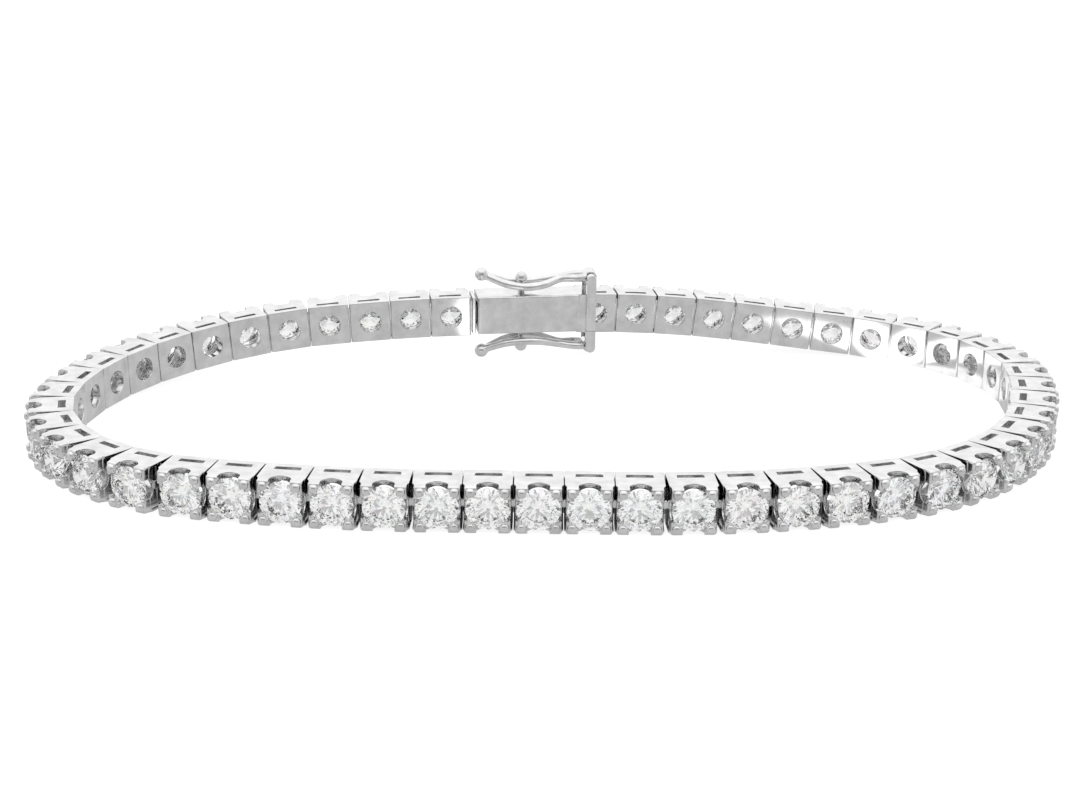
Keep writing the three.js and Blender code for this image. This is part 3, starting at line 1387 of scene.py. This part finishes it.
@dataclass
class ClaspBox:
    """The clasp's fixed half: box, ball studs, and the bridge that carries both catches."""

    sizes: CatchSizes
    start: float = 0.55
    end: float = 8.85
    inner: float = -0.25
    outer: float = 2.75
    edge: float = 0.12
    socket_depth: float = 7.2
    socket_bottom: float = 0.25
    socket_top: float = 2.25
    socket_half: float = 0.95
    stud_x: float = 4.2
    stud_height: float = 1.3
    stud_radius: float = 0.5
    post_radius: float = 0.28
    post_root: float = 0.2
    bridge_half: float = 0.38
    bridge_thickness: float = 0.35
    bridge_edge: float = 0.06
    bridge_root: float = 1.45
    outer_lug: Range = (1.8, 2.1)
    lug_rim: float = 0.08
    lug_sides: int = 24
    pin_inset: float = 0.02
    pin_sides: int = 20

    def stud(self, side: Side) -> list[bpy.types.Mesh]:
        """Makes the ball that a catch snaps over, and its post.

        Args:
            side: which catch it is for.

        Returns:
            The ball and the post.
        """
        reach = self.sizes.box_half + self.stud_height
        centre = Vector((self.stud_x, self.sizes.mid, side.value * reach))
        root = self.sizes.box_half - self.post_root
        post = turned([(self.post_radius, root), (self.post_radius, reach)], self.pin_sides)
        moved(post, Matrix.Rotation(side.value * math.pi / 2, 4, "X"))
        moved(post, Matrix.Translation((self.stud_x, self.sizes.mid, 0)))
        return [ball(centre, self.stud_radius), post]

    def pin_lug(self, side: Side, low: float, high: float) -> list[bpy.types.Mesh]:
        """Makes a lug that is rounded over the hinge pin of one catch.

        Args:
            side: which catch it is for.
            low: where it begins along Y.
            high: where it ends along Y.

        Returns:
            The web and the rounded cap.
        """
        hinge = self.sizes.hinge(side)
        lowest, highest = sorted((side.value * self.bridge_root, hinge.z))
        half, rim = self.bridge_half, self.lug_rim
        web = rounded_box((hinge.x - half, low, lowest), (hinge.x + half, high, highest), 0.0)
        profile = [(half - rim, low), (half, low + rim), (half, high - rim), (half - rim, high)]
        cap = turned(profile, self.lug_sides)
        return [web, moved(cap, Matrix.Translation((hinge.x, 0, hinge.z)))]

    def bridge(self) -> list[bpy.types.Mesh]:
        """Makes the strap across the end link's back, with the lugs and pins.

        Returns:
            The strap, and the lugs and the pin of each catch.
        """
        x, half, root = self.sizes.hinge(Side.UPPER).x, self.bridge_half, self.bridge_root
        face, top = self.inner - self.bridge_thickness, self.inner + self.bridge_thickness / 2
        pin_ends = (face + self.pin_inset, self.outer_lug[1] - self.pin_inset)
        parts = [rounded_box((x - half, face, -root), (x + half, top, root), self.bridge_edge)]
        for side in Side:
            hinge = self.sizes.hinge(side)
            parts += self.pin_lug(side, face, top)
            parts += self.pin_lug(side, *self.outer_lug)
            pin = turned([(self.sizes.pin_radius, end) for end in pin_ends], self.pin_sides)
            parts.append(moved(pin, Matrix.Translation((hinge.x, 0, hinge.z))))
        return parts

    def mesh(self) -> bpy.types.Mesh:
        """Builds the box with everything soldered to it, in the clasp's frame.

        Returns:
            The solid.
        """
        half = self.sizes.box_half
        body = rounded_box(
            (self.start, self.inner, -half), (self.end, self.outer, half), self.edge, "clasp_box"
        )
        socket = rounded_box(
            (self.start - 1, self.socket_bottom, -self.socket_half),
            (self.start + self.socket_depth, self.socket_top, self.socket_half),
            0.0,
        )
        added = [*self.bridge(), *self.stud(Side.UPPER), *self.stud(Side.LOWER)]
        steps = [(Weld.CUT, socket), *((Weld.ADD, part) for part in added)]
        return shaded(welded(body, steps, "clasp_box"))


@dataclass
class ClaspTongue:
    """The tongue: a blade in the box on a root web next to the first link."""

    root_low: tuple[float, float, float] = (0.1, -0.1, -1.5)
    root_high: tuple[float, float, float] = (0.38, 2.3, 1.5)
    blade_low: tuple[float, float, float] = (0.2, 0.55, -0.7)
    blade_high: tuple[float, float, float] = (7.0, 1.95, 0.7)
    root_edge: float = 0.07
    blade_edge: float = 0.1

    def corners(self, frame: Matrix) -> list[Vector]:
        """Finds the outermost corners of the tongue on the chain's route.

        Args:
            frame: the clasp's frame.

        Returns:
            The corners of its root and of its blade.
        """
        boxes = ((self.root_low, self.root_high), (self.blade_low, self.blade_high))
        return [
            frame @ Vector((x, y, z))
            for low, high in boxes
            for x in (low[0], high[0])
            for y in (low[1], high[1])
            for z in (low[2], high[2])
        ]

    def mesh(self) -> bpy.types.Mesh:
        """Builds the tongue in the clasp's frame.

        Returns:
            The tongue as one solid.
        """
        root = rounded_box(self.root_low, self.root_high, self.root_edge, "tongue")
        blade = rounded_box(self.blade_low, self.blade_high, self.blade_edge)
        return shaded(welded(root, [(Weld.ADD, blade)], "tongue"))


@dataclass
class Clasp:
    """The whole clasp, with the end link that is soldered to its box."""

    route: ChainRoute
    placing: Placing
    metal: bpy.types.Material
    chain: Chain
    sizes: CatchSizes = field(default_factory=CatchSizes)
    tongue: ClaspTongue = field(default_factory=ClaspTongue)

    def dressed(self, mesh: bpy.types.Mesh) -> bpy.types.Mesh:
        """Gives a mesh its metal and moves it onto the route.

        Args:
            mesh: the mesh in the clasp's frame.

        Returns:
            The same mesh.
        """
        mesh.materials.clear()
        mesh.materials.append(self.metal)
        return moved(mesh, self.route.clasp_frame())

    def build(self) -> None:
        """Makes the box, the tongue, the end link and both catches."""
        place = self.placing.piece
        last = range(self.route.links - 1, self.route.links)
        box = self.dressed(ClaspBox(self.sizes).mesh())
        place(box, "clasp_box_shell", BAND, METAL_SLOT, ["clasp_box"])
        place(self.chain.links(last, "end_link"), "end_link", BAND, METAL_SLOT)
        place(self.chain.stones(last, "end_stone"), "end_stone", BAND, STONE_SLOT)
        place(self.dressed(self.tongue.mesh()), "tongue", BAND, METAL_SLOT, ["clasp_tongue"])
        wires = WireTree()
        for side in Side:
            name = side.name.lower()
            catch = SafetyCatch(side, self.sizes, wires, self.metal)
            mesh = self.dressed(catch.mesh())
            place(mesh, f"{name}_catch_wire", f"{name}_catch", METAL_SLOT, [f"catch_{name}"])


# ------------------------------------------------------------------------------------------------
# Studio
# ------------------------------------------------------------------------------------------------


@dataclass(frozen=True)
class Pool:
    """A soft-edged patch of stronger light painted on the floor as glow, which polished metal mirrors.

    The centre and the half axes are in millimetres, the heading of the long axis is in degrees.
    """

    centre: tuple[float, float]
    heading: float
    half_axes: tuple[float, float]
    strength: float


@dataclass(frozen=True)
class Studio:
    """A white light tent over a pale floor, and the camera."""

    target: tuple[float, float, float] = (-1.025, -0.328, 1.6)
    distance: float = 148.0
    elevation: float = 18.5
    field_of_view: float = 30.04
    roll: float = 0.74
    clip: Range = (0.005, 20.0)
    floor_radius: float = 3.0
    floor_sides: int = 96
    floor_glow: float = 0.85
    floor_pale: float = 0.35
    floor_seen: float = 0.62
    tent: float = 0.95
    back_wall: float = 1.35
    back_ends: Range = (0.0, 0.5)
    front_gap: float = 0.42
    gap_ends: Range = (-0.55, -0.9)
    gap_rises: Range = (0.55, 0.3)
    roof: float = 1.5
    roof_ends: Range = (0.6, 0.8)
    backdrop: float = 1.2
    stone_light: float = 1.28
    stone_gap: float = 0.62
    stone_floor: float = 1.0
    pools: tuple[Pool, ...] = (
        Pool((24.2, 13.0), 46.0, (9.0, 2.6), 1.8),
        Pool((32.0, 11.8), -58.0, (6.5, 1.9), 1.2),
        Pool((-3.9, 3.0), 102.0, (9.0, 1.2), 1.8),
    )
    pool_ends: Range = (1.0, 0.7)
    bounces: int = 24
    stone_bounces: int = 20
    mirror_bounces: int = 12

    def camera(self) -> None:
        """Sets up the camera."""
        data = bpy.data.cameras.new("camera")
        data.sensor_fit = "HORIZONTAL"
        data.angle = math.radians(self.field_of_view)
        data.clip_start, data.clip_end = self.clip
        camera = bpy.data.objects.new("camera", data)
        bpy.context.scene.collection.objects.link(camera)
        rise = math.radians(self.elevation)
        back = Vector((0, -math.cos(rise), math.sin(rise)))
        turn = (-back).to_track_quat("-Z", "Y")
        roll = Matrix.Rotation(math.radians(self.roll), 3, "Z").to_quaternion()
        camera.rotation_mode = "QUATERNION"
        camera.rotation_quaternion = turn @ roll
        camera.location = (Vector(self.target) + back * self.distance) * MM
        bpy.context.scene.camera = camera

    def floor(self) -> None:
        """Lays the pale floor, which metal and stones see a little darker than the eye does, save for the
        painted pools of light.
        """
        shape = bmesh.new()
        bmesh.ops.create_circle(
            shape, cap_ends=True, radius=self.floor_radius, segments=self.floor_sides
        )
        floor = on_bench(mesh_of(shape, "floor"), "floor")
        material, desk = blank_material("pale_floor")
        paper = desk.out("ShaderNodeBsdfDiffuse", {"Color": (*(self.floor_pale,) * 3, 1)})
        glow = desk.out("ShaderNodeEmission", {"Strength": self.floor_glow})
        lit = desk.out("ShaderNodeAddShader", {0: paper, 1: glow})
        path = desk.place("ShaderNodeLightPath").outputs
        # Painted pools of light: the floor glows brighter in patches for the rays that metal mirrors.
        mirrored: Any = self.floor_seen
        for pool in self.pools:
            mirrored = desk.mixed(Blend.NUMBERS, self.in_pool(desk, pool), mirrored, pool.strength)
        through = path["Is Transmission Ray"]
        seen = desk.mixed(Blend.NUMBERS, through, mirrored, self.stone_floor)
        glow_seen = desk.out("ShaderNodeEmission", {"Strength": seen})
        both = desk.out("ShaderNodeMixShader", {0: path["Is Camera Ray"], 1: glow_seen, 2: lit})
        desk.place("ShaderNodeOutputMaterial", {"Surface": both})
        floor.data.materials.append(material)

    def in_pool(self, desk: NodeDesk, pool: Pool) -> bpy.types.NodeSocket:
        """Works out how far inside a pool of light a point of the floor lies.

        Args:
            desk: where the nodes are placed.
            pool: the pool.

        Returns:
            The share of the pool's light, from 0 outside to 1 within.
        """
        scaled = desk.out(
            "ShaderNodeMapping",
            {
                "Vector": desk.place("ShaderNodeTexCoord").outputs["Object"],
                "Location": Vector((*pool.centre, 0.0)) * MM,
                "Rotation": (0.0, 0.0, math.radians(pool.heading)),
                "Scale": (*Vector(pool.half_axes) * MM, 1.0),
            },
            vector_type="TEXTURE",
        )
        reach = desk.place("ShaderNodeVectorMath", {0: scaled}, operation="LENGTH").outputs["Value"]
        return desk.ranged(reach, self.pool_ends, smooth=True)

    def tent_light(self) -> None:
        """Lights the scene by the tent: bright above and behind, with an opening in front."""
        world = bpy.data.worlds.new("tent")
        bpy.context.scene.world = world
        world.use_nodes = True
        world.node_tree.nodes.clear()
        desk = NodeDesk(world.node_tree)
        ray = desk.place("ShaderNodeTexCoord").outputs["Generated"]
        axes = desk.place("ShaderNodeSeparateXYZ", {0: ray}).outputs
        behind = desk.ranged(axes["Y"], self.back_ends, smooth=True)
        ahead = desk.ranged(axes["Y"], self.gap_ends, smooth=True)
        level = desk.ranged(axes["Z"], self.gap_rises, smooth=True)
        above = desk.ranged(axes["Z"], self.roof_ends, smooth=True)
        gap = desk.maths("MULTIPLY", ahead, level)

        walls = desk.mixed(Blend.NUMBERS, behind, self.tent, self.back_wall)
        walls = desk.mixed(Blend.NUMBERS, gap, walls, self.front_gap)
        tent = desk.mixed(Blend.NUMBERS, above, walls, self.roof)
        stone_tent = desk.mixed(Blend.NUMBERS, gap, self.stone_light, self.stone_gap)
        path = desk.place("ShaderNodeLightPath").outputs
        tent = desk.mixed(Blend.NUMBERS, path["Is Transmission Ray"], tent, stone_tent)
        strength = desk.mixed(Blend.NUMBERS, path["Is Camera Ray"], tent, self.backdrop)
        light = desk.out("ShaderNodeBackground", {"Strength": strength})
        desk.place("ShaderNodeOutputWorld", {"Surface": light})

    def set_up(self) -> None:
        """Builds the whole studio."""
        self.camera()
        self.floor()
        self.tent_light()
        scene = bpy.context.scene
        scene.view_settings.view_transform = "Standard"
        scene.cycles.max_bounces = self.bounces
        scene.cycles.transmission_bounces = self.stone_bounces
        scene.cycles.glossy_bounces = self.mirror_bounces


# ------------------------------------------------------------------------------------------------
# Assembly
# ------------------------------------------------------------------------------------------------


def placing_of(route: ChainRoute, tongue: ClaspTongue) -> Placing:
    """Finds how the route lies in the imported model, from the tongue's box.

    Args:
        route: the chain's route.
        tongue: the tongue, whose corners are matched.

    Returns:
        The placing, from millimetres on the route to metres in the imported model.
    """
    corners = tongue.corners(route.clasp_frame())
    lowest = Vector(min(corner[axis] for corner in corners) for axis in range(3))
    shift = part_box("clasp_tongue")[0] - lowest * MM
    return Placing(Matrix.Translation(shift) @ Matrix.Scale(MM, 4))


def main() -> None:
    """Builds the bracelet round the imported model, then the studio."""
    logging.basicConfig(level=logging.INFO, format="%(name)s: %(message)s")
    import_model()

    route = ChainRoute()
    metal = WhiteGold("polished_white_gold").material()
    diamond = Diamond("clear_brilliant").material()
    placing = placing_of(route, ClaspTongue())

    chain = Chain(route, placing, metal, diamond)
    chain.build()
    Clasp(route, placing, metal, chain).build()
    chain.clear()
    Studio().set_up()


if __name__ == "__main__":
    main()
